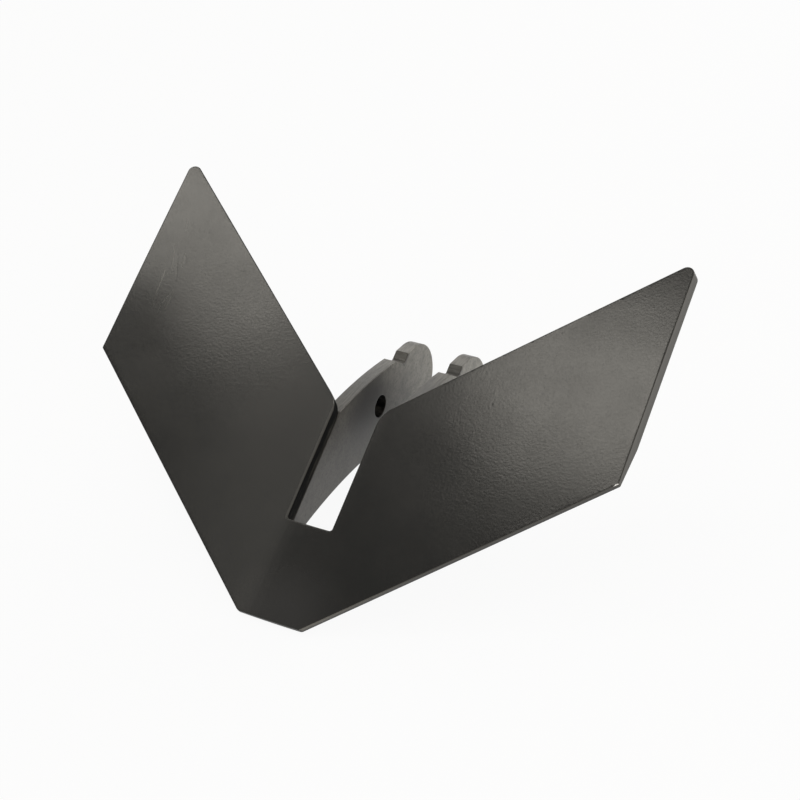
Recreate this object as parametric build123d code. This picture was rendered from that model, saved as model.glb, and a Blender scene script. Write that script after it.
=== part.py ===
from build123d import *

import os
from math import acos, asin, atan2, cos, degrees, hypot, radians, sin, tan

# Cultivator sweep: a flat V-shaped share with two welded cheeks that straddle the tine.
#
# All sizes are in millimetres and degrees. The pieces are drawn in the blade's own frame:
# X runs across the sweep, Y from the nose edge rearward, and Z up from the broad face, whose
# two wings would meet at Z = 0. At the end the whole sweep is tipped to the way it stands on
# a floor: on the lower edge of its nose and on the round heads of its two cheeks.

# Blade plan, seen square to the broad face.
wing_span = 300.0         # across the outer ends of the wings
nose_width = 36.0         # blunt front edge between the two cutting edges
sweep_angle = 50.0        # each cutting edge from the line of travel
end_length = 125.0        # outer end of each wing, along the line of travel
slot_width = 26.0         # slot for the tine, open to the rear
slot_start = 53.0         # nose edge to the closed end of the slot

# Blade section.
blade_thickness = 8.0
bend_angle = 7.5          # each wing up from level
bend_radius = 90.0        # broad face, along the centre line
edge_land = 3.5           # square part of the cutting edge that the bevel leaves
bevel_width = 17.0        # ground bevel on the far face, square to the edge

# Rounded corners of the blade.
nose_radius = 3.0
front_radius = 1.0        # outer end of each cutting edge
tip_radius = 4.0          # rear tip of each wing
shoulder_radius = 15.0    # where a trailing edge meets the slot
slot_radius = 1.5         # closed end of the slot

# Cheeks, drawn from the side: distance back from the nose edge, and depth below the broad face.
cheek_thickness = 8.0
cheek_gap = 26.0          # clear space for the tine
cheek_front = 36.0        # blunt front end
front_depth = 4.9         # height of the blunt front end under the blade
cheek_rear = 117.1        # where the upper edge leaves the blade
upper_radius = 303.0      # long curve of the upper edge
lower_radius = 303.0      # long curve of the lower edge
head_back = 171.9         # centre of the round head
head_down = 82.2
head_radius = 25.0
flat_slope = 38.0         # straight part of the head, down from level
flat_length = 8.0
notch_length = 6.6        # floor of the notch, level with the blade
notch_wall = 11.5         # front wall of the notch
notch_lean = 21.5         # front wall from square to the floor
notch_radius = 2.5        # inside corner of the notch
pin_back = 143.1          # centre of the cross hole
pin_down = 50.2
pin_hole = 13.0

# Fillet welds along the outside of each cheek.
weld_leg = 5.5
weld_bulge = 0.7          # how far the bead stands proud of a flat fillet
weld_inset = 6.0          # each end of the bead from the end of the cheek's seam
weld_taper = 5.0          # length over which the bead runs out
weld_start = 0.4          # leg of the bead at its very end

TILT = radians(bend_angle)
SWEEP = radians(sweep_angle)
BEND_CENTRE = bend_radius / cos(TILT)
FRONT_BACK = (wing_span - nose_width) / 2 / tan(SWEEP)
SIDES = {"left": -1, "right": 1}


def wing_plane(side):
    """The broad face of one wing: its X runs outward along the wing and its Z up from the face."""
    outward = (side * cos(TILT), 0, sin(TILT))
    upward = (-side * sin(TILT), 0, cos(TILT))
    return Plane(origin=(0, 0, 0), x_dir=outward, z_dir=upward)


def on_wing(across):
    """A distance across the sweep, measured along the tilted wing."""
    return across / cos(TILT)


def trailing_edge(across):
    """Distance of the trailing edge from the nose edge, at a distance from the centre line."""
    return FRONT_BACK + end_length - (wing_span / 2 - across) / tan(SWEEP)


def behind_blade(side):
    """All that lies behind the trailing edge of one wing, near the bend."""
    rear = FRONT_BACK + end_length
    outer = bend_radius
    outline = ((0, trailing_edge(0)), (outer, trailing_edge(outer * cos(TILT))), (outer, 2 * rear), (0, 2 * rear))
    face = make_face(Polyline(*[(x, side * y) for x, y in outline], close=True))
    return wing_plane(side) * extrude(face, 5 * blade_thickness, both=True)


def tine_opening():
    """The slot and the space behind it, with the rounding of the shoulders between them."""
    reach = 2 * wing_span
    from_front = (Align.CENTER, Align.MIN, Align.CENTER)
    slot = Pos(0, slot_start, 0) * Box(slot_width, reach, 10 * blade_thickness, align=from_front)
    slot = fillet(slot.edges().filter_by(Axis.Z).group_by(Axis.Y)[0], slot_radius)
    for side in SIDES.values():
        slot = slot + behind_blade(side)
    slot = slot & Box(reach, 2 * reach, 6 * blade_thickness)
    for side in SIDES.values():
        shoulder = Vector(side * slot_width / 2, trailing_edge(slot_width / 2), 0)
        edge = slot.edges().sort_by(lambda e: (e.center() - shoulder).length)[0]
        slot = fillet(edge, shoulder_radius)
    return slot


def blade_middle():
    """The bent strip between the wings, turned about the centre of the bend, with its nose bevel."""
    rear = FRONT_BACK + end_length
    near = BEND_CENTRE - bend_radius
    far = near - blade_thickness
    outline = Polyline((0, 0, near), (0, rear, near), (0, rear, far), (0, bevel_width, far),
                       (0, 0, near - edge_land), close=True)
    axis = Axis((0, 0, BEND_CENTRE), (0, 1, 0))
    return revolve(Face(outline.wire()).rotate(axis, -bend_angle), axis, 2 * bend_angle)


def wing(side):
    """One wing as cut from flat plate, before its cutting edge is ground."""
    inner = bend_radius * tan(TILT)
    nose = (on_wing(nose_width / 2), 0)
    front = (on_wing(wing_span / 2), FRONT_BACK)
    tip = (on_wing(wing_span / 2), FRONT_BACK + end_length)
    root = (inner, trailing_edge(bend_radius * sin(TILT)))
    # Seen in the left wing's plane the rear is downward, so its outline is turned over.
    outline = make_face(Polyline(*[(x, side * y) for x, y in ((inner, 0), nose, front, tip, root)], close=True))
    for corner, radius in ((nose, nose_radius), (front, front_radius), (tip, tip_radius)):
        place = Vector(corner[0], side * corner[1])
        outline = fillet(outline.vertices().sort_by_distance(place)[0], radius)
    return wing_plane(side) * extrude(outline, -blade_thickness)


def ground_section():
    """What the grinder takes off along an edge: distance in from the edge, and height."""
    clear = 2 * blade_thickness
    return make_face(Polyline((0, -edge_land), (bevel_width, -blade_thickness), (bevel_width, -clear),
                              (-clear, -clear), (-clear, -edge_land), close=True))


def nose_grinding(side):
    """The wedge ground off one wing's share of the nose edge."""
    start = Plane(origin=(bend_radius * tan(TILT), 0, 0), x_dir=(0, side, 0), z_dir=(side, 0, 0))
    return wing_plane(side) * start * extrude(ground_section(), side * nose_width)


def edge_grinding(side):
    """The wedge ground off one wing's cutting edge."""
    nose = Vector(on_wing(nose_width / 2), 0)
    front = Vector(on_wing(wing_span / 2), side * FRONT_BACK)
    along = (front - nose).normalized()
    spare = bevel_width
    start = Plane(origin=nose - along * spare, x_dir=(-side * along.Y, side * along.X, 0), z_dir=along * side)
    return wing_plane(side) * start * extrude(ground_section(), side * ((front - nose).length + 2 * spare))


def blade():
    """The share: one plate, bent along its centre line, ground on the far face and slotted."""
    plate = blade_middle()
    for side in SIDES.values():
        plate = plate + (wing(side) - nose_grinding(side))
    for side in SIDES.values():
        plate = plate - edge_grinding(side)
    return plate - tine_opening()


def seam_height(across):
    """Height of the blade's far face at a distance from the centre line."""
    return across * tan(TILT) - blade_thickness / cos(TILT)


def head_point(angle):
    """A point round the head of a cheek, by its angle up from straight back."""
    return (head_back + head_radius * cos(angle), -head_down + head_radius * sin(angle))


def lower_curve(start):
    """Centre of the lower edge's curve, which runs into the head without a corner."""
    back, up = head_back - start[0], -head_down - start[1]
    apart = hypot(back, up)
    reach = lower_radius + head_radius
    turn = acos((lower_radius ** 2 + apart ** 2 - reach ** 2) / (2 * lower_radius * apart))
    aim = atan2(up, back) - turn
    return (start[0] + lower_radius * cos(aim), start[1] + lower_radius * sin(aim))


def cheek_outline():
    """Side view of a cheek. Its upper side reaches into the blade, where it is trimmed later."""
    flat_back = head_point(radians(90 - flat_slope))
    slope = radians(flat_slope)
    knob = (flat_back[0] - flat_length * cos(slope), flat_back[1] + flat_length * sin(slope))
    notch = (knob[0] - notch_length, knob[1])
    lean = radians(notch_lean)
    upper_end = (notch[0] - notch_wall * sin(lean), notch[1] + notch_wall * cos(lean))
    upper_start = (cheek_rear, seam_height(cheek_gap / 2 + cheek_thickness))
    inside = upper_start[1] + blade_thickness / 2
    front_foot = (cheek_front, seam_height(cheek_gap / 2) - front_depth)

    centre = lower_curve(front_foot)
    hand_over = atan2(centre[1] + head_down, centre[0] - head_back)
    lower_end = head_point(hand_over)
    middle = atan2((front_foot[1] + lower_end[1]) / 2 - centre[1], (front_foot[0] + lower_end[0]) / 2 - centre[0])
    lower_middle = (centre[0] + lower_radius * cos(middle), centre[1] + lower_radius * sin(middle))
    head_middle = head_point((radians(90 - flat_slope) + hand_over) / 2)

    outline = make_face([
        Line((cheek_front, inside), front_foot),
        ThreePointArc(front_foot, lower_middle, lower_end),
        ThreePointArc(lower_end, head_middle, flat_back),
        Line(flat_back, knob),
        Line(knob, notch),
        Line(notch, upper_end),
        RadiusArc(upper_end, upper_start, -upper_radius),
        Line(upper_start, (cheek_rear, inside)),
        Line((cheek_rear, inside), (cheek_front, inside)),
    ])
    outline = fillet(outline.vertices().sort_by_distance(Vector(*notch))[0], notch_radius)
    return outline - Pos(pin_back, -pin_down) * Circle(pin_hole / 2)


def cheek(side):
    """One cheek: plate on edge, trimmed to sit on the blade's far face."""
    upright = Plane(origin=(side * cheek_gap / 2, 0, 0), x_dir=(0, 1, 0), z_dir=(1, 0, 0))
    plate = upright * extrude(cheek_outline(), side * cheek_thickness)
    reach = 2 * wing_span
    above = Pos(0, 0, -blade_thickness) * Box(reach, reach, reach, align=(Align.CENTER, Align.CENTER, Align.MIN))
    return plate - wing_plane(side) * above


def weld_section(side, leg, back):
    """The bead in section, in the corner between a cheek's outer face and the blade."""
    outer = cheek_gap / 2 + cheek_thickness
    corner = Vector(outer, seam_height(outer))
    down = corner + Vector(0, -leg)
    out = corner + Vector(leg * cos(TILT), leg * sin(TILT))
    half_way = (down + out) * 0.5
    proud = half_way + (half_way - corner).normalized() * (weld_bulge * leg / weld_leg)
    place = Plane(origin=(0, back, 0), x_dir=(side, 0, 0), z_dir=(0, -side, 0))
    return place * make_face([Line(corner, down), ThreePointArc(down, proud, out), Line(out, corner)])


def weld(side):
    """The bead along the outside of one cheek, running out to a small end both ways."""
    start = cheek_front + weld_inset
    end = cheek_rear - weld_inset
    stations = ((start, weld_start), (start + weld_taper, weld_leg), (end - weld_taper, weld_leg), (end, weld_start))
    return loft([weld_section(side, leg, back).face() for back, leg in stations], ruled=True)


def standing():
    """The tilt at which the nose's lower edge and the heads of the cheeks touch a level floor."""
    foot = BEND_CENTRE - bend_radius - edge_land
    fall = atan2(-head_down - foot, head_back)
    return Rot(degrees(asin(head_radius / hypot(head_back, head_down + foot)) - fall), 0, 0)


def sweep():
    """Every piece by name, standing on the floor with the origin under the middle of the sweep."""
    pieces = {"blade": blade()}
    for name, side in SIDES.items():
        pieces[name + "_cheek"] = cheek(side)
        pieces[name + "_weld"] = weld(side)
    tilt = standing()
    boxes = [(tilt * piece).bounding_box() for piece in pieces.values()]
    rear = max(box.max.Y for box in boxes)
    front = min(box.min.Y for box in boxes)
    floor = min(box.min.Z for box in boxes)
    stand = Pos(0, -(front + rear) / 2, -floor) * tilt
    return {name: stand * piece for name, piece in pieces.items()}, stand


def main():
    pieces, stand = sweep()
    os.makedirs("parts", exist_ok=True)
    for name, piece in pieces.items():
        export_step(piece, f"parts/{name}.step")
        print(name, round(piece.volume), "mm3")
    print("tilt", round(stand.orientation.X, 4), "shift", [round(v, 4) for v in stand.position])


if __name__ == "__main__":
    main()
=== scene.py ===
"""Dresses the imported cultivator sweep: painted plates with rounded arrises, weld beads and a studio."""

import math

import bmesh
import bpy
from bpy.props import FloatProperty, FloatVectorProperty, PointerProperty
from mathutils import Euler, Matrix, Vector, noise
from mathutils.geometry import intersect_point_line


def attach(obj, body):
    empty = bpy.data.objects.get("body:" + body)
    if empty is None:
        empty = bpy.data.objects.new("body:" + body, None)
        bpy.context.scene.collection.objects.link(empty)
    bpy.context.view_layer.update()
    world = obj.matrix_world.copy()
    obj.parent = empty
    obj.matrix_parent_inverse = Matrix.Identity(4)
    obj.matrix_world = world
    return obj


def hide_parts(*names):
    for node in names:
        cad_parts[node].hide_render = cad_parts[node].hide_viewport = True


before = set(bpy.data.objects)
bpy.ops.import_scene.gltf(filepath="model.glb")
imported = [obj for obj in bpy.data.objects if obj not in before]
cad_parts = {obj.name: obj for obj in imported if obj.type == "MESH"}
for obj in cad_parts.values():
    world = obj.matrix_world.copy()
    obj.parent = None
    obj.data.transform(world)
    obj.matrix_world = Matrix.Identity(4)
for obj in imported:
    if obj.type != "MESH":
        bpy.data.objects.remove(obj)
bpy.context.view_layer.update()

bl_info = {
    "name": "Cultivator sweep",
    "version": (1, 0, 0),
    "blender": (4, 5, 0),
    "location": "3D View > Sidebar > Sweep",
    "description": "Builds the painted cultivator sweep round its CAD frame",
    "category": "Add Mesh",
}

MM = 0.001
SIDES = {"left": -1, "right": 1}

# The sweep is drawn in the blade's own frame and tipped to where it stands on the floor:
# X across, Y from the nose edge rearward and Z up from the broad face.
STANDING_TILT = math.radians(32.3987)
STANDING = (Matrix.Translation((0, -106.4915 * MM, 2.2995 * MM))
            @ Matrix.Rotation(STANDING_TILT, 4, "X"))
TO_BLADE_FRAME = STANDING.inverted()
ACROSS = Vector((1, 0, 0))
REARWARD = STANDING.to_3x3() @ Vector((0, 1, 0))
UPWARD = STANDING.to_3x3() @ Vector((0, 0, 1))

# The bend, and what the weld beads sit on, as in the CAD source.
BEND_ANGLE = math.radians(7.5)
BEND_RADIUS = 90.0 * MM
BLADE_THICKNESS = 8.0 * MM
NOSE_HALF = 18.0 * MM
CHEEK_OUTSIDE = 21.0 * MM
WELD_FRONT = 42.0 * MM
WELD_REAR = 111.1 * MM
WELD_LENGTH = WELD_REAR - WELD_FRONT

# The bend as the plate springs back, and how far off its arc the CAD facets may lie.
SOFT_BEND_RADIUS = 140.0 * MM
BEND_TOLERANCE = 0.15 * MM

# The slot's walls lie within this distance of the centre line and rearward of this place.
SLOT_REACH = 16 * MM
SLOT_FRONT = -36.5 * MM

# The floor of the cheeks' notch lies between the first two places rearward and below the third.
NOTCH_FRONT = 84.5 * MM
NOTCH_REAR = 92.6 * MM
NOTCH_TOP = 4 * MM

# The cheeks' cross hole, and how far outside its radius its wall may still lie.
BORE_PLACE = Vector((0, 41.231, 36.588)) * MM
BORE_RADIUS = 6.5 * MM
BORE_TOLERANCE = 0.02 * MM

# What tells faces apart: cosines of the angle between a face's normal and upward, rearward or across.
BROAD_FACE_COSINE = 0.9
SLOT_WALL_COSINE = 0.35
PLATE_EDGE_COSINE = 0.5
OUTER_END_COSINE = 0.8
CHEEK_END_COSINE = 0.6

# The same for the points of an arris that are painted paler, partly wear and partly a painted highlight:
# between the first two, and on the cutting edge above the third.
HIGHLIGHT_AND_WEAR_FROM_COSINE = 0.1
HIGHLIGHT_AND_WEAR_TO_COSINE = 0.95
HIGHLIGHT_AND_WEAR_CUTTING_COSINE = 0.2

# What counts as one point, as one flat face, as a sharp edge and as on the plane of a cut.
SAME_POINT = 0.001 * MM
FLAT_TURN = math.radians(0.3)
SHARP_TURN = math.radians(30)
CUT_TOLERANCE = 0.0001 * MM

# Gentle hollows in the wings: across from the centre line, back from the nose edge, reach and depth,
# in millimetres in the blade's frame.
HOLLOWS = (
    (-142, 106, 41, 0.85),
    (-100, 162, 26, 0.27),
    (42, 95, 26, 0.3),
)

# Scratches in the broad face of the left wing: height of each (a groove is below zero), how far it
# is scuffed, and the places that it passes, across from the centre line and back from the nose edge.
# Lengths in millimetres.
MARKS = (
    (0.03, 0.9, ((-136.2, 165.4), (-135.3, 162.4), (-134.7, 150.9), (-133.7, 142.8), (-132.1, 138.8))),
    (-0.05, 0.0, ((-133.9, 178.0), (-131.0, 170.9), (-128.3, 164.6), (-126.9, 159.5), (-126.6, 155.0),
                  (-127.7, 149.2), (-128.6, 145.0))),
    (0.03, 0.7, ((-126.9, 152.0), (-128.3, 146.4), (-128.8, 140.4), (-126.9, 135.3))),
    (0.03, 1.0, ((-125.2, 154.0), (-125.5, 147.3), (-125.2, 139.7))),
    (-0.05, 0.0, ((-123.6, 153.0), (-124.0, 146.2), (-124.0, 138.1))),
    (-0.04, 0.0, ((-127.4, 177.3), (-126.2, 173.1), (-125.4, 167.8))),
    (0.0, 0.3, ((-129.0, 178.1), (-127.9, 173.9), (-127.1, 168.9))),
    (0.0, 0.25, ((-137.2, 198.3), (-134.4, 190.4))),
    (-0.02, 0.0, ((-132.5, 197.0), (-130.5, 189.6))),
    (0.0, 0.25, ((-136.8, 181.7), (-134.2, 172.6), (-131.4, 163.6))),
)

# Round the scratches the blade's grid is cut finer: how far from a scratch, and how far round all of
# them, in steps of that grid, and how many cuts go through a step.
MARK_REACH = 1.5
MARK_ROOM = 2
MARK_CUTS = 9

# A scratch starts at this share of its depth and gains the rest at this rate along its length.
MARK_START = 0.1
MARK_RISE = 3

# How pale the paint is painted, from 0 to 1: on the slot's arris and in a strip along the slot's left
# rim, both a painted highlight, and on the arris of the right cutting edge, partly wear and partly a
# painted highlight, where it falls from 1 at the nose to this over the given length.
SLOT_ARRIS_HIGHLIGHT = 0.35
SLOT_RIM_HIGHLIGHT = 0.2
CUTTING_ARRIS_WEAR_AND_HIGHLIGHT = 0.3
CUTTING_ARRIS_FADE = 70 * MM

# The painted highlight strip's two sides, from the centre line outward, the width in which it fades out,
# and how far the plate's unevenness can have moved its points.
STRIP_INSIDE = 13.2 * MM
STRIP_OUTSIDE = 14.1 * MM
STRIP_FADE = 0.4 * MM
STRIP_TOLERANCE = 0.01 * MM

# Patterns in the paint: size of each and, for those that stand out, height.
HAZE_SIZE = 30 * MM
GRAIN_SIZE = 0.8 * MM
GRAIN_HEIGHT = 0.007 * MM
NIB_SPACING = 11 * MM
NIB_HEIGHT = 0.03 * MM
OVERSPRAY_SIZE = 25 * MM
MOTTLE_SIZE = 5 * MM
PIT_SIZE = 1.3 * MM
WALL_BUMP_SIZE = 0.9 * MM
WALL_BUMP_HEIGHT = 0.12 * MM

# Lines of the cut edges: their length across, rearward and upward, and their height.
ALONG_CHEEK_EDGE = Vector((0.7, 14, 14)) * MM
ACROSS_CHEEK_END = Vector((25, 2.2, 25)) * MM
ALONG_SHEARED_EDGE = Vector((20, 20, 1.3)) * MM
ALONG_SHADED_WALL = Vector((25, 25, 2.4)) * MM
FLAME_CUT_HEIGHT = 0.2 * MM
SHEARED_HEIGHT = 0.08 * MM

# The chip at the outer corner of the right cutting edge: middle, reach, and size of its ragged outline.
CHIP_PLACE = Vector((149.9, -25.0, 77.2)) * MM
CHIP_REACH = 2.4 * MM
CHIP_EDGE = 0.3 * MM
CHIP_RAGGED = 1.2 * MM
CHIP_GRAIN = 0.8 * MM

# Round spots in the paint: middle, and the distances from it at which they start and stop fading.
# The paint is painted paler at the nose as a painted reflection, painted darker round the cheeks' hole as
# painted shade, and wet in two patches.
NOSE_REFLECTION = (Vector((6, -103, 5)) * MM, 5 * MM, 38 * MM)
HOLE_SHADE = (BORE_PLACE - 7 * MM * REARWARD + 12 * MM * UPWARD, 10 * MM, 30 * MM)
WET_PATCHES = (
    (Vector((80, -17, 73)) * MM, 22.8 * MM, 57 * MM),
    (Vector((-80, 1, 83)) * MM, 18 * MM, 45 * MM),
)

# How strong the orange peel is outside the wet patches.
DRY_PEEL = 0.7

# Between these places rearward the cheeks' paint is painted lighter towards the heads, as painted light.
CHEEK_LIGHT_START = 52 * MM
CHEEK_LIGHT_END = 94 * MM

# The weld beads: steps round a section, spacing of the sections, size of the run-out's tip as a share,
# and how far a ripple lags at the toes of the bead.
BEAD_STEPS = 12
SECTION_SPACING = 0.3 * MM
BEAD_TIP = 0.07
RIPPLE_LAG = 1.6 * MM

# The photograph's viewpoint, from a camera fitted to the sweep's edges.
CAMERA_PLACE = Vector((0.33728, -0.58658, 0.52820))
CAMERA_TURN = Euler((math.radians(55.792), math.radians(1.887), math.radians(26.972)), "XYZ")
CAMERA_LENS = 70.02
SENSOR_WIDTH = 36
HALF_PIXEL = 0.5 / 800
NEAREST_SEEN = 10 * MM

# Softboxes by name: place, width, depth, turn in its own plane and brightness as the eye sees it. They
# are aimed at the middle of the sweep.
SOFTBOXES = {
    "overhead_left": ((-0.499, -0.127, 1.2), 0.361, 0.226, -0.112, 5.17),
    "overhead_front": ((-0.028, -0.421, 1.2), 0.734, 0.574, 0.156, 0.71),
    "camera_side": ((0.9, -1.2, 0.9), 0.8, 0.8, 0.0, 3.6),
    "rear_left": ((-1.0, 1.8, 0.95), 1.3, 0.9, 0.0, 2.0),
    "rear_right": ((1.4, 1.5, 0.7), 1.0, 0.8, 0.0, 7.0),
}
MIDDLE = Vector((0, 0, 0.07))
LAMP_COLOUR = "#fffdfa"

# How far the paper is lifted to white for the camera, and how many sides its round outline has.
PAPER_LIFT = 0.92
PAPER_SIDES = 96


def linear(hex_colour):
    """An sRGB hex colour as the linear values that the shaders and the lamps take."""
    channels = [int(hex_colour[i:i + 2], 16) / 255 for i in (1, 3, 5)]
    return tuple(c / 12.92 if c <= 0.04045 else ((c + 0.055) / 1.055) ** 2.4 for c in channels)


def distance_property(name, description, millimetres):
    """A length that the user can change, kept in metres."""
    return FloatProperty(name=name, description=description, default=millimetres * MM, min=0,
                         precision=5, unit="LENGTH")


def colour_property(name, description, hex_colour):
    """A colour that the user can change."""
    return FloatVectorProperty(name=name, description=description, default=linear(hex_colour),
                               min=0, max=1, size=3, subtype="COLOR")


def share_property(name, description, share):
    """A number from 0 to 1 that the user can change."""
    return FloatProperty(name=name, description=description, default=share, min=0, max=1,
                         subtype="FACTOR")


class PaintSettings(bpy.types.PropertyGroup):
    """The black paint and what shows through it."""
    colour: colour_property("Paint", "The black paint on the blade", "#121211")
    dusty_colour: colour_property("Dusty paint", "The blade's paint where overspray greys it", "#1b1a18")
    # The paler colour at the nose is a painted reflection.
    rubbed_colour: colour_property("Rubbed paint", "The blade's paint rubbed at the nose", "#2d2c2b")
    # Paler colour for worn and scratched paint, and for the painted highlights on the slot's arris and
    # rim.
    scuffed_colour: colour_property("Scuffed paint", "The blade's paint where scratched", "#6e6b65")
    # Darker paint for the lines of the sheared edges, and painted shade round the cheeks' hole.
    thick_colour: colour_property("Thick cheek paint", "The cheeks' paint round the hole", "#171513")
    thin_colour: colour_property("Thin cheek paint", "The cheeks' thinner, browner paint", "#4c4943")
    # Painted light: the cheeks' paint is lighter towards their heads.
    worn_colour: colour_property("Worn cheek paint", "The cheeks' paint at the heads", "#78756d")
    # Near black: painted shade on the walls of the slot and the hole, and dark pits in the cheeks' paint.
    soot_colour: colour_property("Soot", "Walls cut by flame and hardly painted", "#080807")
    steel_colour: colour_property("Bare steel", "Steel where the paint has chipped off", "#ece9e4")
    gloss_tint: colour_property("Gloss tint", "Faint warm tint of the paint's gloss", "#fffcf4")
    roughness: share_property("Roughness", "How dull the blade's paint is", 0.19)
    cheek_roughness: share_property("Cheek roughness", "How dull the cheeks' paint is", 0.36)
    peel_spacing: distance_property("Peel spacing", "Size of a bump of the orange peel", 1.3)
    peel_height: distance_property("Peel height", "Height of the orange peel", 0.034)


class PlateSettings(bpy.types.PropertyGroup):
    """The steel plate under the paint."""
    arris: distance_property("Arris", "Reach of the blade's rounded edges into each face", 0.5)
    cheek_arris: distance_property("Cheek arris", "Reach of the cheeks' rounded edges", 0.4)
    wave_height: distance_property("Wave height", "How far the rolled plate wanders from flat", 0.05)
    wave_length: distance_property("Wave length", "Distance between waves of the plate", 26.0)
    blade_grid: distance_property("Blade grid", "Spacing of the points on the blade", 2.0)
    cheek_grid: distance_property("Cheek grid", "Spacing of the points on a cheek", 1.5)
    mark_width: distance_property("Mark width", "Half the width of a scratch", 0.28)


class WeldSettings(bpy.types.PropertyGroup):
    """The fillet weld along the outside of each cheek."""
    leg: distance_property("Leg", "Reach of the bead along each plate", 5.5)
    bulge: distance_property("Bulge", "How far the bead stands proud of a flat fillet", 0.7)
    taper: distance_property("Taper", "Length over which the bead runs out at each end", 5.0)
    ripple_spacing: distance_property("Ripple spacing", "Distance from one ripple to the next", 1.9)
    ripple_depth: distance_property("Ripple depth", "Depth of the groove between two ripples", 0.4)


class StageSettings(bpy.types.PropertyGroup):
    """The floor and the light."""
    floor_colour: colour_property("Floor", "The pale paper floor", "#f4f4f2")
    floor_radius: FloatProperty(name="Floor radius", description="Half the width of the floor",
                                default=6.0, min=0.5, unit="LENGTH")
    world_level: share_property("Fill light", "Brightness of the even light from all round", 0.38)


def node(tree, kind, inputs=None, **settings):
    """Adds a shader node with its settings; each input is a value or another node's output."""
    made = tree.nodes.new(kind)
    for name, value in settings.items():
        setattr(made, name, value)
    for name, value in (inputs or {}).items():
        if isinstance(value, bpy.types.NodeSocket):
            tree.links.new(value, made.inputs[name])
        else:
            made.inputs[name].default_value = value
    return made


def new_material(name):
    """An empty node material and its tree."""
    made = bpy.data.materials.new(name)
    made.use_nodes = True
    made.node_tree.nodes.clear()
    return made, made.node_tree


def spot(tree, place, middle, start, stop, outside=0.0, interpolation="SMOOTHSTEP"):
    """A round spot that is 1 at its middle and fades to the outside value from start to stop."""
    away = node(tree, "ShaderNodeVectorMath", {0: place, 1: tuple(middle)}, operation="DISTANCE")
    fade = node(tree, "ShaderNodeMapRange", {
        "Value": away.outputs["Value"], "From Min": start, "From Max": stop,
        "To Min": 1.0, "To Max": outside}, interpolation_type=interpolation)
    return fade.outputs["Result"]


def scuffed_film(tree, film, paint):
    """A film's colour, paler where the mesh's attribute says so: worn and scratched paint, and painted
    highlights.
    """
    scuff_and_highlight = node(tree, "ShaderNodeAttribute", attribute_name="scuff_and_highlight")
    paled = node(tree, "ShaderNodeMix", {
        "Factor": scuff_and_highlight.outputs["Fac"], "A": film, "B": (*paint.scuffed_colour, 1)}, data_type="RGBA")
    return paled.outputs["Result"]


def peel_strength(tree, place):
    """How strongly the orange peel shows: fully in the wet patches and less between them."""
    strongest = DRY_PEEL
    for patch in WET_PATCHES:
        wet = spot(tree, place, *patch, outside=DRY_PEEL)
        both = node(tree, "ShaderNodeMath", {0: strongest, 1: wet}, operation="MAXIMUM")
        strongest = both.outputs["Value"]
    return strongest


def sprayed_enamel(tree, place, film, roughness, paint):
    """A satin enamel sprayed on plate: orange peel, fine grain and a few nibs of dust under the film."""
    haze = node(tree, "ShaderNodeTexNoise", {
        "Vector": place, "Scale": 1 / HAZE_SIZE, "Detail": 5.0, "Roughness": 0.65})
    grain = node(tree, "ShaderNodeTexNoise", {"Vector": place, "Scale": 1 / GRAIN_SIZE, "Detail": 3.0})
    peel = node(tree, "ShaderNodeTexNoise", {
        "Vector": place, "Scale": 1 / paint.peel_spacing, "Detail": 2.0, "Roughness": 0.45})
    nib = node(tree, "ShaderNodeTexVoronoi", {"Vector": place, "Scale": 1 / NIB_SPACING})
    nib_shape = node(tree, "ShaderNodeMapRange", {
        "Value": nib.outputs["Distance"], "From Min": 0.015, "From Max": 0.065,
        "To Min": 1.0, "To Max": 0.0}, interpolation_type="SMOOTHSTEP")
    dull = node(tree, "ShaderNodeMapRange", {
        "Value": haze.outputs["Fac"], "From Min": 0.3, "From Max": 0.7,
        "To Min": roughness - 0.015, "To Max": roughness + 0.025})
    speckle = node(tree, "ShaderNodeMapRange", {
        "Value": grain.outputs["Fac"], "From Min": 0.3, "From Max": 0.7,
        "To Min": -0.03, "To Max": 0.04})
    dullness = node(tree, "ShaderNodeMath", {
        0: dull.outputs["Result"], 1: speckle.outputs["Result"]}, operation="ADD")
    fine = node(tree, "ShaderNodeBump", {"Height": grain.outputs["Fac"], "Distance": GRAIN_HEIGHT})
    rippled = node(tree, "ShaderNodeBump", {
        "Height": peel.outputs["Fac"], "Distance": paint.peel_height,
        "Strength": peel_strength(tree, place), "Normal": fine.outputs["Normal"]})
    nibbed = node(tree, "ShaderNodeBump", {
        "Height": nib_shape.outputs["Result"], "Distance": NIB_HEIGHT,
        "Normal": rippled.outputs["Normal"]})
    return node(tree, "ShaderNodeBsdfPrincipled", {
        "Base Color": scuffed_film(tree, film, paint), "Metallic": 0.0,
        "Roughness": dullness.outputs["Value"], "IOR": 1.5,
        "Specular Tint": (*paint.gloss_tint, 1), "Normal": nibbed.outputs["Normal"]})


def blade_film(tree, place, paint):
    """The blade's paint colour: black, greyed in places by overspray, with a painted reflection paler at
    the nose.
    """
    cloud = node(tree, "ShaderNodeTexNoise", {
        "Vector": place, "Scale": 1 / OVERSPRAY_SIZE, "Detail": 6.0, "Roughness": 0.7})
    dusty = node(tree, "ShaderNodeMapRange", {
        "Value": cloud.outputs["Fac"], "From Min": 0.4, "From Max": 0.7})
    film = node(tree, "ShaderNodeMix", {
        "Factor": dusty.outputs["Result"], "A": (*paint.colour, 1),
        "B": (*paint.dusty_colour, 1)}, data_type="RGBA")
    # Painted reflection: the paint is paler at the nose.
    nose_film = node(tree, "ShaderNodeMix", {
        "Factor": spot(tree, place, *NOSE_REFLECTION), "A": film.outputs["Result"],
        "B": (*paint.rubbed_colour, 1)}, data_type="RGBA")
    return nose_film.outputs["Result"]


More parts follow.
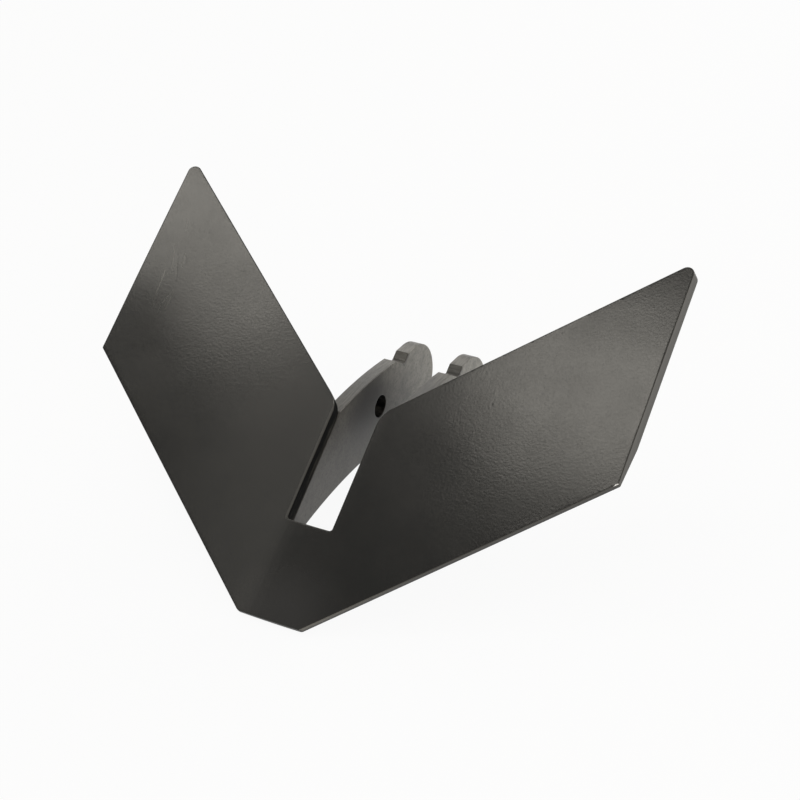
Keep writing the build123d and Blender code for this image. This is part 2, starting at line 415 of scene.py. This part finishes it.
def ragged_chip(tree, place):
    """A shape that is 1 where the paint has chipped off and 0 elsewhere."""
    away = node(tree, "ShaderNodeVectorMath", {0: place, 1: tuple(CHIP_PLACE)}, operation="DISTANCE")
    ragged = node(tree, "ShaderNodeTexNoise", {"Vector": place, "Scale": 1 / CHIP_GRAIN})
    outline = node(tree, "ShaderNodeMath", {
        0: ragged.outputs["Fac"], 1: CHIP_RAGGED, 2: away.outputs["Value"]}, operation="MULTIPLY_ADD")
    chipped = node(tree, "ShaderNodeMapRange", {
        "Value": outline.outputs["Value"], "From Min": CHIP_REACH, "From Max": CHIP_REACH + CHIP_EDGE,
        "To Min": 1.0, "To Max": 0.0})
    return chipped.outputs["Result"]


def black_enamel_on_rolled_plate(paint):
    """The blade's enamel, glossy enough to mirror a lamp softly, with one front corner bare steel."""
    made, tree = new_material("black_enamel_on_rolled_plate")
    place = node(tree, "ShaderNodeTexCoord").outputs["Object"]
    skin = sprayed_enamel(tree, place, blade_film(tree, place, paint), paint.roughness, paint)
    steel = node(tree, "ShaderNodeBsdfPrincipled", {
        "Base Color": (*paint.steel_colour, 1), "Metallic": 1.0, "Roughness": 0.5})
    both = node(tree, "ShaderNodeMixShader", {
        0: ragged_chip(tree, place), 1: skin.outputs["BSDF"], 2: steel.outputs["BSDF"]})
    node(tree, "ShaderNodeOutputMaterial", {"Surface": both.outputs["Shader"]})
    return made


def cheek_film(tree, place, paint):
    """The cheeks' paint colour: thin and brown, with painted shade round the hole and painted light
    towards the heads.
    """
    # Painted light: the paint gets lighter rearward towards the heads.
    along = node(tree, "ShaderNodeVectorMath", {0: place, 1: tuple(REARWARD)}, operation="DOT_PRODUCT")
    rear = node(tree, "ShaderNodeMapRange", {
        "Value": along.outputs["Value"], "From Min": CHEEK_LIGHT_START, "From Max": CHEEK_LIGHT_END})
    with_painted_light = node(tree, "ShaderNodeMix", {
        "Factor": rear.outputs["Result"], "A": (*paint.thin_colour, 1),
        "B": (*paint.worn_colour, 1)}, data_type="RGBA")
    # Both cheeks get painted shade round their hole, however far it is from the centre line.
    flat = node(tree, "ShaderNodeVectorMath", {0: place, 1: (0, 1, 1)}, operation="MULTIPLY")
    film = node(tree, "ShaderNodeMix", {
        "Factor": spot(tree, flat.outputs["Vector"], *HOLE_SHADE, interpolation="LINEAR"),
        "A": with_painted_light.outputs["Result"], "B": (*paint.thick_colour, 1)}, data_type="RGBA")
    return film.outputs["Result"]


def thin_enamel_on_cheek(paint):
    """The cheeks' enamel: thinner, duller and browner than the blade's, with dark pits of scale in it."""
    made, tree = new_material("thin_enamel_on_cheek")
    place = node(tree, "ShaderNodeTexCoord").outputs["Object"]
    mottle = node(tree, "ShaderNodeTexNoise", {
        "Vector": place, "Scale": 1 / MOTTLE_SIZE, "Detail": 6.0, "Roughness": 0.75})
    shade = node(tree, "ShaderNodeMapRange", {
        "Value": mottle.outputs["Fac"], "From Min": 0.35, "From Max": 0.65,
        "To Min": 0.62, "To Max": 1.3})
    mottled = node(tree, "ShaderNodeMix", {
        "Factor": 1.0, "A": cheek_film(tree, place, paint), "B": shade.outputs["Result"]},
        data_type="RGBA", blend_type="MULTIPLY")
    pit = node(tree, "ShaderNodeTexNoise", {"Vector": place, "Scale": 1 / PIT_SIZE, "Detail": 2.0})
    pitted = node(tree, "ShaderNodeMapRange", {
        "Value": pit.outputs["Fac"], "From Min": 0.56, "From Max": 0.68, "To Min": 0.0, "To Max": 0.6})
    film = node(tree, "ShaderNodeMix", {
        "Factor": pitted.outputs["Result"], "A": mottled.outputs["Result"],
        "B": (*paint.soot_colour, 1)}, data_type="RGBA")
    skin = sprayed_enamel(tree, place, film.outputs["Result"], paint.cheek_roughness, paint)
    node(tree, "ShaderNodeOutputMaterial", {"Surface": skin.outputs["BSDF"]})
    return made


def cut_lines(tree, place, lengths):
    """The lines that a cut leaves: a noise that is much longer some ways than the others."""
    stretch = node(tree, "ShaderNodeMapping", {
        "Vector": place, "Rotation": (STANDING_TILT, 0, 0), "Scale": lengths}, vector_type="TEXTURE")
    lines = node(tree, "ShaderNodeTexNoise", {
        "Vector": stretch.outputs["Vector"], "Scale": 1.0, "Detail": 4.0, "Roughness": 0.65})
    return lines.outputs["Fac"]


def enamel_on_flame_cut(name, paint, lengths, with_painted_light):
    """Thin enamel over a flame cut: lighter where its lines stand proud and darker in their hollows."""
    made, tree = new_material(name)
    place = node(tree, "ShaderNodeTexCoord").outputs["Object"]
    lines = cut_lines(tree, place, lengths)
    shade = node(tree, "ShaderNodeMapRange", {
        "Value": lines, "From Min": 0.35, "From Max": 0.65, "To Min": 0.25, "To Max": 1.14})
    # The long edges take the sides' colour with its painted light and shade.
    film = node(tree, "ShaderNodeMix", {
        "Factor": 1.0, "A": cheek_film(tree, place, paint) if with_painted_light else (*paint.thin_colour, 1),
        "B": shade.outputs["Result"]}, data_type="RGBA", blend_type="MULTIPLY")
    bumps = node(tree, "ShaderNodeBump", {"Height": lines, "Distance": FLAME_CUT_HEIGHT})
    skin = node(tree, "ShaderNodeBsdfPrincipled", {
        "Base Color": film.outputs["Result"], "Metallic": 0.0,
        "Roughness": paint.cheek_roughness, "IOR": 1.5,
        "Specular Tint": (*paint.gloss_tint, 1), "Normal": bumps.outputs["Normal"]})
    node(tree, "ShaderNodeOutputMaterial", {"Surface": skin.outputs["BSDF"]})
    return made


def enamel_on_cheek_edge(paint):
    """The cheeks' long flame-cut edges: lines less than a millimetre apart along the edge, over the
    sides' painted light and shade.
    """
    return enamel_on_flame_cut("enamel_on_cheek_edge", paint, ALONG_CHEEK_EDGE, with_painted_light=True)


def enamel_on_cheek_end(paint):
    """A cheek's notch and front end: plain thin paint without painted light or shade, with bands from
    side to side.
    """
    return enamel_on_flame_cut("enamel_on_cheek_end", paint, ACROSS_CHEEK_END, with_painted_light=False)


def enamel_on_sheared_plate(name, darker, lighter, paint):
    """Enamel over a sheared edge: dull and faintly lined, so it mirrors less than the broad face."""
    made, tree = new_material(name)
    place = node(tree, "ShaderNodeTexCoord").outputs["Object"]
    lines = cut_lines(tree, place, ALONG_SHEARED_EDGE)
    film = node(tree, "ShaderNodeMix", {
        "Factor": lines, "A": (*darker, 1), "B": (*lighter, 1)}, data_type="RGBA")
    bumps = node(tree, "ShaderNodeBump", {"Height": lines, "Distance": SHEARED_HEIGHT})
    skin = node(tree, "ShaderNodeBsdfPrincipled", {
        "Base Color": scuffed_film(tree, film.outputs["Result"], paint), "Metallic": 0.0,
        "Roughness": 0.52, "IOR": 1.5,
        "Specular Tint": (*paint.gloss_tint, 1), "Normal": bumps.outputs["Normal"]})
    node(tree, "ShaderNodeOutputMaterial", {"Surface": skin.outputs["BSDF"]})
    return made


def enamel_on_sheared_edge(paint):
    """The blade's sheared edges, full of paint and dark."""
    return enamel_on_sheared_plate("enamel_on_sheared_edge", paint.colour, paint.thick_colour, paint)


def enamel_on_sheared_end(paint):
    """The blade's outer ends, where the paint is thinner and greyer."""
    return enamel_on_sheared_plate("enamel_on_sheared_end", paint.dusty_colour, paint.thin_colour, paint)


def painted_shade_cut_wall(paint):
    """The walls of the slot and the hole: painted near black as painted shade, rough, with paler lines
    along them.
    """
    made, tree = new_material("painted_shade_cut_wall")
    place = node(tree, "ShaderNodeTexCoord").outputs["Object"]
    painted = node(tree, "ShaderNodeMapRange", {
        "Value": cut_lines(tree, place, ALONG_SHADED_WALL), "From Min": 0.5, "From Max": 0.66,
        "To Min": 0.0, "To Max": 0.6})
    # The near black is painted shade; paler lines run along the wall.
    film = node(tree, "ShaderNodeMix", {
        "Factor": painted.outputs["Result"], "A": (*paint.soot_colour, 1),
        "B": (*paint.thin_colour, 1)}, data_type="RGBA")
    rough = node(tree, "ShaderNodeTexNoise", {"Vector": place, "Scale": 1 / WALL_BUMP_SIZE, "Detail": 4.0})
    bumps = node(tree, "ShaderNodeBump", {"Height": rough.outputs["Fac"], "Distance": WALL_BUMP_HEIGHT})
    skin = node(tree, "ShaderNodeBsdfPrincipled", {
        "Base Color": film.outputs["Result"], "Metallic": 0.0, "Roughness": 0.7, "IOR": 1.5,
        "Specular IOR Level": 0.06, "Normal": bumps.outputs["Normal"]})
    node(tree, "ShaderNodeOutputMaterial", {"Surface": skin.outputs["BSDF"]})
    return made


def matte_white_paper(stage):
    """Matt background paper: it takes the sweep's soft shadow and is lifted to white for the camera."""
    made, tree = new_material("matte_white_paper")
    matt = node(tree, "ShaderNodeBsdfDiffuse", {"Color": (*stage.floor_colour, 1)})
    glow = node(tree, "ShaderNodeEmission", {"Color": (1, 1, 1, 1), "Strength": 1.0})
    path = node(tree, "ShaderNodeLightPath")
    seen = node(tree, "ShaderNodeMath", {
        0: path.outputs["Is Camera Ray"], 1: path.outputs["Is Glossy Ray"]}, operation="MAXIMUM")
    either = node(tree, "ShaderNodeMath", {
        0: seen.outputs["Value"], 1: path.outputs["Is Transmission Ray"]}, operation="MAXIMUM")
    share = node(tree, "ShaderNodeMath", {
        0: either.outputs["Value"], 1: PAPER_LIFT}, operation="MULTIPLY")
    both = node(tree, "ShaderNodeMixShader", {
        0: share.outputs["Value"], 1: matt.outputs["BSDF"], 2: glow.outputs["Emission"]})
    node(tree, "ShaderNodeOutputMaterial", {"Surface": both.outputs["Shader"]})
    return made


def known_material(make, settings):
    """The material of that name if it is already there, or else a new one."""
    return bpy.data.materials.get(make.__name__) or make(settings)


def in_slot_zone(place):
    """Whether a place is at the slot or just beside it."""
    return abs(place.x) < SLOT_REACH and place.dot(REARWARD) > SLOT_FRONT


def in_notch(place):
    """Whether a place on a cheek's edge is in the floor of its notch."""
    return NOTCH_FRONT < place.dot(REARWARD) < NOTCH_REAR and 0 < place.dot(UPWARD) < NOTCH_TOP


def is_broad(normal):
    """Whether a normal is one of the broad face."""
    return normal.dot(UPWARD) > BROAD_FACE_COSINE


def blade_finish(face):
    """The finish of one face of the blade: wall of the slot, outer end, other edge or broad face."""
    upright = abs(face.normal.dot(UPWARD))
    if upright < SLOT_WALL_COSINE and in_slot_zone(face.calc_center_median()):
        return painted_shade_cut_wall
    if upright < PLATE_EDGE_COSINE:
        return enamel_on_sheared_end if abs(face.normal.x) > OUTER_END_COSINE else enamel_on_sheared_edge
    return black_enamel_on_rolled_plate


def cheek_finish(face):
    """The finish of one face of a cheek: wall of the hole, notch or front end, long edge, or side."""
    middle = face.calc_center_median()
    from_bore = middle * Vector((0, 1, 1)) - BORE_PLACE
    if from_bore.length < BORE_RADIUS + BORE_TOLERANCE:
        return painted_shade_cut_wall
    if face.normal.dot(REARWARD) < -CHEEK_END_COSINE or in_notch(middle):
        return enamel_on_cheek_end
    if abs(face.normal.x) < PLATE_EDGE_COSINE:
        return enamel_on_cheek_edge
    return thin_enamel_on_cheek


def give_finishes(work, finishes, finish_of):
    """Gives each face its finish, by its number in the list of finishes."""
    for face in work.faces:
        face.material_index = finishes.index(finish_of(face))


def copy_of(node_name):
    """A CAD node's shape as a bmesh, with its flat faces whole again."""
    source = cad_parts[node_name].data
    work = bmesh.new()
    corners = [work.verts.new(v.co) for v in source.vertices]
    for polygon in source.polygons:
        work.faces.new([corners[i] for i in polygon.vertices])
    bmesh.ops.remove_doubles(work, verts=work.verts, dist=SAME_POINT)
    bmesh.ops.dissolve_limit(work, angle_limit=FLAT_TURN, verts=work.verts, edges=work.edges)
    bmesh.ops.recalc_face_normals(work, faces=work.faces)
    return work


def round_arrises(work, reach):
    """Rounds every sharp edge and marks the rounding."""
    mark = work.faces.layers.int.new("arris")
    sharp = [e for e in work.edges if len(e.link_faces) == 2 and e.calc_face_angle() > SHARP_TURN]
    rounded = bmesh.ops.bevel(work, geom=sharp, offset=reach, offset_type="OFFSET", segments=3,
                              profile=0.5, affect="EDGES", clamp_overlap=False)
    for face in rounded["faces"]:
        face[mark] = 1


def on_arris(work):
    """The points that lie on a rounded edge, its borders included."""
    mark = work.faces.layers.int["arris"]
    return {vert for face in work.faces if face[mark] for vert in face.verts}


def cut_grid(work, directions, spacing):
    """Cuts the shape by evenly spaced planes, so that there are points for its unevenness to move."""
    for direction in directions:
        heights = [v.co.dot(direction) for v in work.verts]
        low, high = min(heights), max(heights)
        steps = math.ceil((high - low) / spacing)
        for i in range(1, steps):
            height = low + (high - low) * i / steps
            bmesh.ops.bisect_plane(work, geom=work.verts[:] + work.edges[:] + work.faces[:],
                                   dist=CUT_TOLERANCE, plane_co=direction * height,
                                   plane_no=direction)
    work.normal_update()


def true_bend(work):
    """Puts the points between the wings on the arc of the bend, which the CAD facets only come near."""
    centre = BEND_RADIUS / math.cos(BEND_ANGLE)
    for vert in set(work.verts) - on_arris(work):
        place = TO_BLADE_FRAME @ vert.co
        from_centre = math.hypot(place.x, centre - place.z)
        for radius in (BEND_RADIUS, BEND_RADIUS + BLADE_THICKNESS):
            in_bend = abs(place.x) < radius * math.sin(BEND_ANGLE)
            if in_bend and abs(from_centre - radius) < BEND_TOLERANCE:
                place.x *= radius / from_centre
                place.z = centre - (centre - place.z) * radius / from_centre
                vert.co = STANDING @ place


def bend_height(across, radius):
    """How high the bend's arc of that radius, or the wing beyond it, stands over the nose."""
    if abs(across) > radius * math.sin(BEND_ANGLE):
        return abs(across) * math.tan(BEND_ANGLE)
    return radius / math.cos(BEND_ANGLE) - math.sqrt(radius ** 2 - across ** 2)


def soften_bend(work):
    """Lets the bend run out into the wings a little sooner, as a plate does when it springs back."""
    for vert in work.verts:
        lift = bend_height(vert.co.x, SOFT_BEND_RADIUS) - bend_height(vert.co.x, BEND_RADIUS)
        vert.co += UPWARD * lift


def make_uneven(work, height, length):
    """Lets the faces wander from flat by a little, with the arrises left where they are."""
    work.normal_update()
    for vert in set(work.verts) - on_arris(work):
        vert.co += vert.normal * (noise.noise(vert.co / length) * height)


def line_slot_rim(work):
    """Cuts lines along the slot's rims for the painted highlight strip to end at, and for it to fade
    between.
    """
    for distance in (STRIP_OUTSIDE, STRIP_OUTSIDE + STRIP_FADE):
        for side in SIDES.values():
            rim = [f for f in work.faces if is_broad(f.normal) and in_slot_zone(f.calc_center_median())]
            edges = {e for f in rim for e in f.edges}
            verts = {v for f in rim for v in f.verts}
            bmesh.ops.bisect_plane(work, geom=[*verts, *edges, *rim], dist=CUT_TOLERANCE,
                                   plane_co=ACROSS * side * distance, plane_no=ACROSS)


def press_hollows(work):
    """Sinks the gentle hollows into the wings, plate and all."""
    for vert in work.verts:
        place = TO_BLADE_FRAME @ vert.co
        for across, rear, reach, depth in HOLLOWS:
            away = math.hypot(place.x / MM - across, place.y / MM - rear) / reach
            vert.co -= UPWARD * (depth * MM * math.exp(-away ** 2))


def wear_arrises(work):
    """Painted highlight on the slot's arris and left rim; the right cutting edge's arris is paler near
    the nose, wear and painted highlight.
    """
    work.normal_update()
    scuff_and_highlight = work.verts.layers.float.new("scuff_and_highlight")
    for vert in on_arris(work):
        upright = vert.normal.dot(UPWARD)
        from_nose = (TO_BLADE_FRAME @ vert.co).x - NOSE_HALF
        if not HIGHLIGHT_AND_WEAR_FROM_COSINE < upright < HIGHLIGHT_AND_WEAR_TO_COSINE:
            continue
        if in_slot_zone(vert.co):
            # Painted highlight on the slot's arris.
            vert[scuff_and_highlight] = SLOT_ARRIS_HIGHLIGHT
        elif from_nose > 0 and upright > HIGHLIGHT_AND_WEAR_CUTTING_COSINE:
            vert[scuff_and_highlight] = max(CUTTING_ARRIS_WEAR_AND_HIGHLIGHT, 1.0 - from_nose / CUTTING_ARRIS_FADE)
    for vert in work.verts:
        # Painted highlight strip along the slot's left rim.
        in_strip = -STRIP_OUTSIDE - STRIP_TOLERANCE < vert.co.x < -STRIP_INSIDE
        if in_strip and in_slot_zone(vert.co) and is_broad(vert.normal):
            vert[scuff_and_highlight] = SLOT_RIM_HIGHLIGHT


def on_broad_face(across, back):
    """A place on a wing's broad face, given in millimetres in the blade's frame."""
    return STANDING @ (Vector((across, back, abs(across) * math.tan(BEND_ANGLE))) * MM)


def from_path(point, path):
    """How far a point is from a line of places, and how far along it is, from 0 to 1."""
    best = (math.inf, 0)
    for i, (start, end) in enumerate(zip(path, path[1:])):
        share = min(1, max(0, intersect_point_line(point, start, end)[1]))
        distance = (point - start.lerp(end, share)).length
        best = min(best, (distance, (i + share) / (len(path) - 1)))
    return best


def press_marks(work, width, grid):
    """Scratches the broad face, on points made fine enough to hold the scratches."""
    paths = [(height * MM, paled, [on_broad_face(*place) for place in places])
             for height, paled, places in MARKS]
    places = [place for *_, path in paths for place in path]
    low = [min(place[i] for place in places) - MARK_ROOM * grid for i in range(3)]
    high = [max(place[i] for place in places) + MARK_ROOM * grid for i in range(3)]

    def around(point):
        return all(low[i] < point[i] < high[i] for i in range(3))

    def beside(point):
        return any(from_path(point, path)[0] < MARK_REACH * grid for *_, path in paths)

    near = {v for v in work.verts if around(v.co) and beside(v.co)}
    edges = [e for e in work.edges if e.verts[0] in near and e.verts[1] in near]
    bmesh.ops.subdivide_edges(work, edges=edges, cuts=MARK_CUTS, use_grid_fill=True)
    scuff_and_highlight = work.verts.layers.float["scuff_and_highlight"]
    outward = STANDING.to_3x3() @ Vector((math.sin(BEND_ANGLE), 0, math.cos(BEND_ANGLE)))
    for vert in work.verts:
        if not around(vert.co):
            continue
        lift = 0
        for height, paled, path in paths:
            distance, share = from_path(vert.co, path)
            taper = min(1, MARK_RISE * min(share, 1 - share) + MARK_START)
            depth = taper * math.exp(-(distance / width) ** 2)
            lift += height * depth
            vert[scuff_and_highlight] = max(vert[scuff_and_highlight], paled * depth)
        vert.co += outward * lift


def bead_section(side, weld, along):
    """Points round the bead at one place along it, in the blade's frame, from cheek to blade."""
    run_out = min(1, min(along, WELD_LENGTH - along) / weld.taper)
    size = BEAD_TIP + (1 - BEAD_TIP) * math.sqrt(run_out * (2 - run_out))
    blade_surface = CHEEK_OUTSIDE * math.tan(BEND_ANGLE) - BLADE_THICKNESS / math.cos(BEND_ANGLE)
    corner = Vector((CHEEK_OUTSIDE, 0, blade_surface))
    down = Vector((0, 0, -weld.leg))
    out = Vector((weld.leg * math.cos(BEND_ANGLE), 0, weld.leg * math.sin(BEND_ANGLE)))
    outward = (down + out).normalized()
    points = [corner]
    for i in range(BEAD_STEPS + 1):
        share = i / BEAD_STEPS
        across = 2 * share - 1
        reach = down * (1 - share) + out * share
        bulge = weld.bulge * (1 - across * across)
        # Each ripple is a crescent: it lags towards the toes of the bead.
        phase = (along + RIPPLE_LAG * across * across) / weld.ripple_spacing
        groove = weld.ripple_depth * (abs(math.sin(math.pi * phase)) - 1) * (1 - across ** 4)
        points.append(corner + (reach + outward * (bulge + groove)) * size)
    return [Vector((side * p.x, WELD_FRONT + along, p.z)) for p in points]


def bead(side, weld):
    """One weld bead as a bmesh: a row of sections joined into a closed skin."""
    work = bmesh.new()
    steps = math.ceil(WELD_LENGTH / SECTION_SPACING)
    rings = []
    for i in range(steps + 1):
        points = bead_section(side, weld, WELD_LENGTH * i / steps)
        rings.append([work.verts.new(STANDING @ p) for p in points])
    around = len(rings[0])
    for first, second in zip(rings, rings[1:]):
        for j in range(around):
            k = (j + 1) % around
            work.faces.new((first[j], first[k], second[k], second[j]))
    work.faces.new(rings[0])
    work.faces.new(rings[-1])
    bmesh.ops.recalc_face_normals(work, faces=work.faces)
    return work


def finished_piece(work, name, finishes, paint, replaced):
    """Turns a bmesh into a smooth-shaded piece that rides on the sweep in place of its CAD node."""
    mesh = bpy.data.meshes.new(name)
    work.to_mesh(mesh)
    work.free()
    for face in mesh.polygons:
        face.use_smooth = True
    for make in finishes:
        mesh.materials.append(known_material(make, paint))
    piece = bpy.data.objects.new(name, mesh)
    bpy.context.scene.collection.objects.link(piece)
    piece.modifiers.new("even shading", "WEIGHTED_NORMAL")
    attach(piece, "root")
    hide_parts(replaced)


class SWEEP_OT_blade(bpy.types.Operator):
    """The share: one bent plate with rounded arrises under satin black enamel"""
    bl_idname = "sweep.blade"
    bl_label = "Blade"

    def execute(self, context):
        plate = context.scene.sweep_plate
        finishes = (black_enamel_on_rolled_plate, enamel_on_sheared_edge, painted_shade_cut_wall,
                    enamel_on_sheared_end)
        work = copy_of("blade")
        round_arrises(work, plate.arris)
        cut_grid(work, (ACROSS, REARWARD), plate.blade_grid)
        line_slot_rim(work)
        give_finishes(work, finishes, blade_finish)
        true_bend(work)
        soften_bend(work)
        make_uneven(work, plate.wave_height, plate.wave_length)
        press_hollows(work)
        wear_arrises(work)
        press_marks(work, plate.mark_width, plate.blade_grid)
        finished_piece(work, "painted_blade", finishes, context.scene.sweep_paint, "blade")
        return {"FINISHED"}


class SWEEP_OT_cheeks(bpy.types.Operator):
    """The two curved plates on edge that straddle the tine"""
    bl_idname = "sweep.cheeks"
    bl_label = "Cheeks"

    def execute(self, context):
        plate = context.scene.sweep_plate
        paint = context.scene.sweep_paint
        finishes = (thin_enamel_on_cheek, enamel_on_cheek_edge, enamel_on_cheek_end,
                    painted_shade_cut_wall)
        for side in SIDES:
            work = copy_of(side + "_cheek")
            round_arrises(work, plate.cheek_arris)
            cut_grid(work, (REARWARD, UPWARD), plate.cheek_grid)
            give_finishes(work, finishes, cheek_finish)
            make_uneven(work, plate.wave_height, plate.wave_length)
            finished_piece(work, f"painted_{side}_cheek", finishes, paint, side + "_cheek")
        return {"FINISHED"}


class SWEEP_OT_welds(bpy.types.Operator):
    """The rippled fillet weld that joins each cheek to the blade"""
    bl_idname = "sweep.welds"
    bl_label = "Welds"

    def execute(self, context):
        paint = context.scene.sweep_paint
        for name, side in SIDES.items():
            work = bead(side, context.scene.sweep_weld)
            finished_piece(work, f"{name}_weld_bead", [thin_enamel_on_cheek], paint, name + "_weld")
        return {"FINISHED"}


def paper_floor(stage):
    """The sheet of paper that the sweep stands on."""
    work = bmesh.new()
    bmesh.ops.create_circle(work, cap_ends=True, segments=PAPER_SIDES, radius=stage.floor_radius)
    mesh = bpy.data.meshes.new("paper_floor")
    work.to_mesh(mesh)
    work.free()
    mesh.materials.append(matte_white_paper(stage))
    floor = bpy.data.objects.new("paper_floor", mesh)
    bpy.context.scene.collection.objects.link(floor)


def studio_world(stage):
    """An even light from all round that the camera sees as plain white."""
    world = bpy.data.worlds.new("studio")
    world.use_nodes = True
    tree = world.node_tree
    tree.nodes.clear()
    path = node(tree, "ShaderNodeLightPath")
    level = node(tree, "ShaderNodeMapRange", {
        "Value": path.outputs["Is Camera Ray"], "To Min": stage.world_level, "To Max": 1.0})
    light = node(tree, "ShaderNodeBackground", {
        "Color": (1, 1, 1, 1), "Strength": level.outputs["Result"]})
    node(tree, "ShaderNodeOutputWorld", {"Surface": light.outputs["Background"]})
    bpy.context.scene.world = world


def softbox(name, place, width, depth, turn, brightness):
    """One soft lamp aimed at the middle of the sweep."""
    lamp = bpy.data.lights.new(name, "AREA")
    lamp.shape = "RECTANGLE"
    lamp.size = width
    lamp.size_y = depth
    lamp.energy = brightness * math.pi * width * depth
    lamp.color = linear(LAMP_COLOUR)
    holder = bpy.data.objects.new(name, lamp)
    bpy.context.scene.collection.objects.link(holder)
    away = (Vector(place) - MIDDLE).normalized()
    across = Vector((0, 1, 0)).cross(away).normalized()
    facing = Matrix((across, away.cross(across), away)).transposed() @ Matrix.Rotation(turn, 3, "Z")
    holder.matrix_world = Matrix.Translation(place) @ facing.to_4x4()


def photo_camera():
    """The camera at the photograph's viewpoint."""
    lens = bpy.data.cameras.new("photo_camera")
    lens.sensor_width = SENSOR_WIDTH
    lens.lens = CAMERA_LENS
    lens.shift_x = -HALF_PIXEL
    lens.shift_y = HALF_PIXEL
    lens.clip_start = NEAREST_SEEN
    camera = bpy.data.objects.new("photo_camera", lens)
    camera.location = CAMERA_PLACE
    camera.rotation_euler = CAMERA_TURN
    bpy.context.scene.collection.objects.link(camera)
    bpy.context.scene.camera = camera


class SWEEP_OT_stage(bpy.types.Operator):
    """A white paper floor, soft lamps and the photograph's camera"""
    bl_idname = "sweep.stage"
    bl_label = "Stage"

    def execute(self, context):
        paper_floor(context.scene.sweep_stage)
        studio_world(context.scene.sweep_stage)
        for name, facts in SOFTBOXES.items():
            softbox(name, *facts)
        photo_camera()
        context.scene.view_settings.view_transform = "Standard"
        return {"FINISHED"}


class SWEEP_PT_panel(bpy.types.Panel):
    """Lists the pieces of the sweep and what can be changed about them"""
    bl_label = "Cultivator sweep"
    bl_idname = "SWEEP_PT_panel"
    bl_space_type = "VIEW_3D"
    bl_region_type = "UI"
    bl_category = "Sweep"

    def draw(self, context):
        layout = self.layout
        for operator in OPERATORS:
            layout.operator(operator.bl_idname)
        for settings, group in SETTINGS.items():
            box = layout.box()
            for name in group.__annotations__:
                box.prop(getattr(context.scene, settings), name)


SETTINGS = {"sweep_paint": PaintSettings, "sweep_plate": PlateSettings, "sweep_weld": WeldSettings,
            "sweep_stage": StageSettings}
OPERATORS = (SWEEP_OT_blade, SWEEP_OT_cheeks, SWEEP_OT_welds, SWEEP_OT_stage)


def register():
    """Makes the settings, the operators and the panel known to Blender."""
    for name, group in SETTINGS.items():
        bpy.utils.register_class(group)
        setattr(bpy.types.Scene, name, PointerProperty(type=group))
    for group in (*OPERATORS, SWEEP_PT_panel):
        bpy.utils.register_class(group)


def unregister():
    """Takes them all away again."""
    for group in (SWEEP_PT_panel, *reversed(OPERATORS)):
        bpy.utils.unregister_class(group)
    for name, group in SETTINGS.items():
        delattr(bpy.types.Scene, name)
        bpy.utils.unregister_class(group)


def main():
    """Builds the pieces and the stage."""
    register()
    bpy.ops.sweep.blade()
    bpy.ops.sweep.cheeks()
    bpy.ops.sweep.welds()
    bpy.ops.sweep.stage()


if __name__ == "__main__":
    main()
